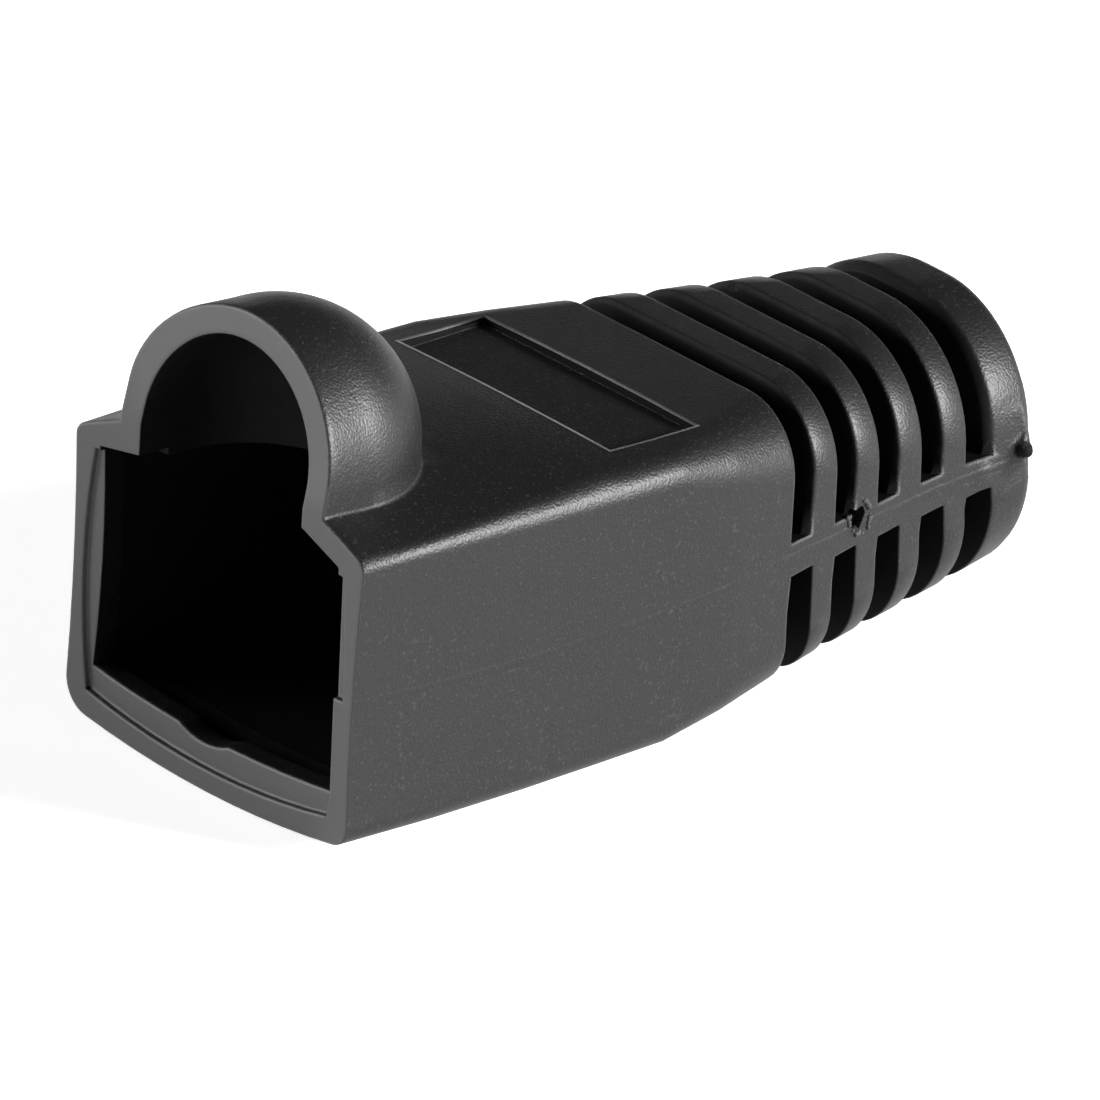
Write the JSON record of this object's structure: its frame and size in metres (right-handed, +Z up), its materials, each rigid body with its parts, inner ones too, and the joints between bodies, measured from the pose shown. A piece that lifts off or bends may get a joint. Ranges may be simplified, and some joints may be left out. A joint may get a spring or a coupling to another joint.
{
  "type": "rj45 strain relief boot",
  "caption": "Soft moulded boot for a modular network plug: square mouth with a domed latch hood, label recess, slotted tapering tail and round cable bore.",
  "frame": {"origin": "middle of the underside of the bounding box", "axes": "+X along the boot from the plug mouth at -X to the cable exit at +X, +Z up through the latch hood, Y across"},
  "size_m": [0.0318, 0.0144, 0.0169],
  "materials": {
    "boot_pvc": "soft moulded PVC, near black, fine matte mould texture with a low sheen"
  },
  "bodies": {
    "root": {"boot": "boot_pvc"}
  },
  "joints": []
}
